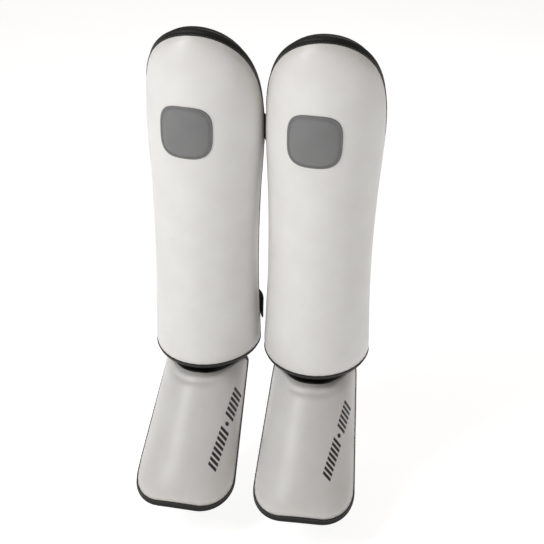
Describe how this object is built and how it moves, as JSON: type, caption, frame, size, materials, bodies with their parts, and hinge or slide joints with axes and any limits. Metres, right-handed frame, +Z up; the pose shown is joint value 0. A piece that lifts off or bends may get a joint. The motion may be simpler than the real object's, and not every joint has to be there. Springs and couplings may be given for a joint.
{
  "type": "shin and instep guard",
  "caption": "Padded shin-and-instep guards: arched shin shells with hook-and-loop leg straps and hinged flaps over the feet.",
  "frame": {"origin": "midway between the two legs, at the height of the shin pads' lower edge", "axes": "+Z up along the shins, -Y towards the toes, +X to the viewer's right from the front"},
  "size_m": [0.2696, 0.2512, 0.5474],
  "materials": {
    "white_cover": "smooth semi-gloss white synthetic leather",
    "hard_foam": "closed-cell impact foam",
    "soft_foam": "soft open-cell comfort foam",
    "black_lining": "matt black knitted lining",
    "black_binding": "satin black synthetic leather tape",
    "grey_patch": "matt grey sewn-on synthetic leather",
    "black_webbing": "woven black webbing",
    "hook_tape": "black hook tape",
    "black_elastic": "ribbed black elastic"
  },
  "bodies": {
    "left_shin": {"left_shin_cover": "white_cover", "left_shin_hard_foam": "hard_foam", "left_shin_soft_foam": "soft_foam", "left_shin_lining": "black_lining", "left_shin_binding": "black_binding", "left_shin_patch": "grey_patch", "left_upper_strap_loop_tab": "black_elastic", "left_lower_strap_loop_tab": "black_elastic", "left_ankle_tongue": "black_binding"},
    "left_upper_band": {"left_upper_strap": "black_webbing", "left_upper_strap_hook": "hook_tape"},
    "left_lower_band": {"left_lower_strap": "black_webbing", "left_lower_strap_hook": "hook_tape"},
    "left_instep": {"left_instep_cover": "white_cover", "left_instep_foam": "hard_foam", "left_instep_lining": "black_lining", "left_instep_binding": "black_binding", "left_foot_strap": "black_elastic"},
    "right_shin": {"right_shin_cover": "white_cover", "right_shin_hard_foam": "hard_foam", "right_shin_soft_foam": "soft_foam", "right_shin_lining": "black_lining", "right_shin_binding": "black_binding", "right_shin_patch": "grey_patch", "right_upper_strap_loop_tab": "black_elastic", "right_lower_strap_loop_tab": "black_elastic", "right_ankle_tongue": "black_binding"},
    "right_upper_band": {"right_upper_strap": "black_webbing", "right_upper_strap_hook": "hook_tape"},
    "right_lower_band": {"right_lower_strap": "black_webbing", "right_lower_strap_hook": "hook_tape"},
    "right_instep": {"right_instep_cover": "white_cover", "right_instep_foam": "hard_foam", "right_instep_lining": "black_lining", "right_instep_binding": "black_binding", "right_foot_strap": "black_elastic"}
  },
  "joints": [
    {"name": "left_ankle_flex", "type": "hinge", "parent": "left_shin", "child": "left_instep", "pos_m": [-0.06958, -0.07395, -0.0065], "axis": [-0.9994, 0.0349, 0], "range_deg": [-15, 35], "deforming": ["left_ankle_tongue"]},
    {"name": "left_upper_strap_open", "type": "hinge", "parent": "left_shin", "child": "left_upper_band", "pos_m": [-0.12746, -0.0013, 0.266], "axis": [0, 0, 1], "range_deg": [0, 90]},
    {"name": "left_lower_strap_open", "type": "hinge", "parent": "left_shin", "child": "left_lower_band", "pos_m": [-0.12344, 0.00747, 0.028], "axis": [0, 0, 1], "range_deg": [0, 90]},
    {"name": "pair_spacing", "type": "slide", "parent": "left_shin", "child": "right_shin", "axis": [1, 0, 0], "range_m": [0, 0.25]},
    {"name": "right_ankle_flex", "type": "hinge", "parent": "right_shin", "child": "right_instep", "pos_m": [0.06958, -0.07395, -0.0065], "axis": [-0.9994, -0.0349, 0], "range_deg": [-15, 35], "deforming": ["right_ankle_tongue"]},
    {"name": "right_upper_strap_open", "type": "hinge", "parent": "right_shin", "child": "right_upper_band", "pos_m": [0.12746, -0.0013, 0.266], "axis": [0, 0, -1], "range_deg": [0, 90]},
    {"name": "right_lower_strap_open", "type": "hinge", "parent": "right_shin", "child": "right_lower_band", "pos_m": [0.12344, 0.00747, 0.028], "axis": [0, 0, -1], "range_deg": [0, 90]}
  ]
}
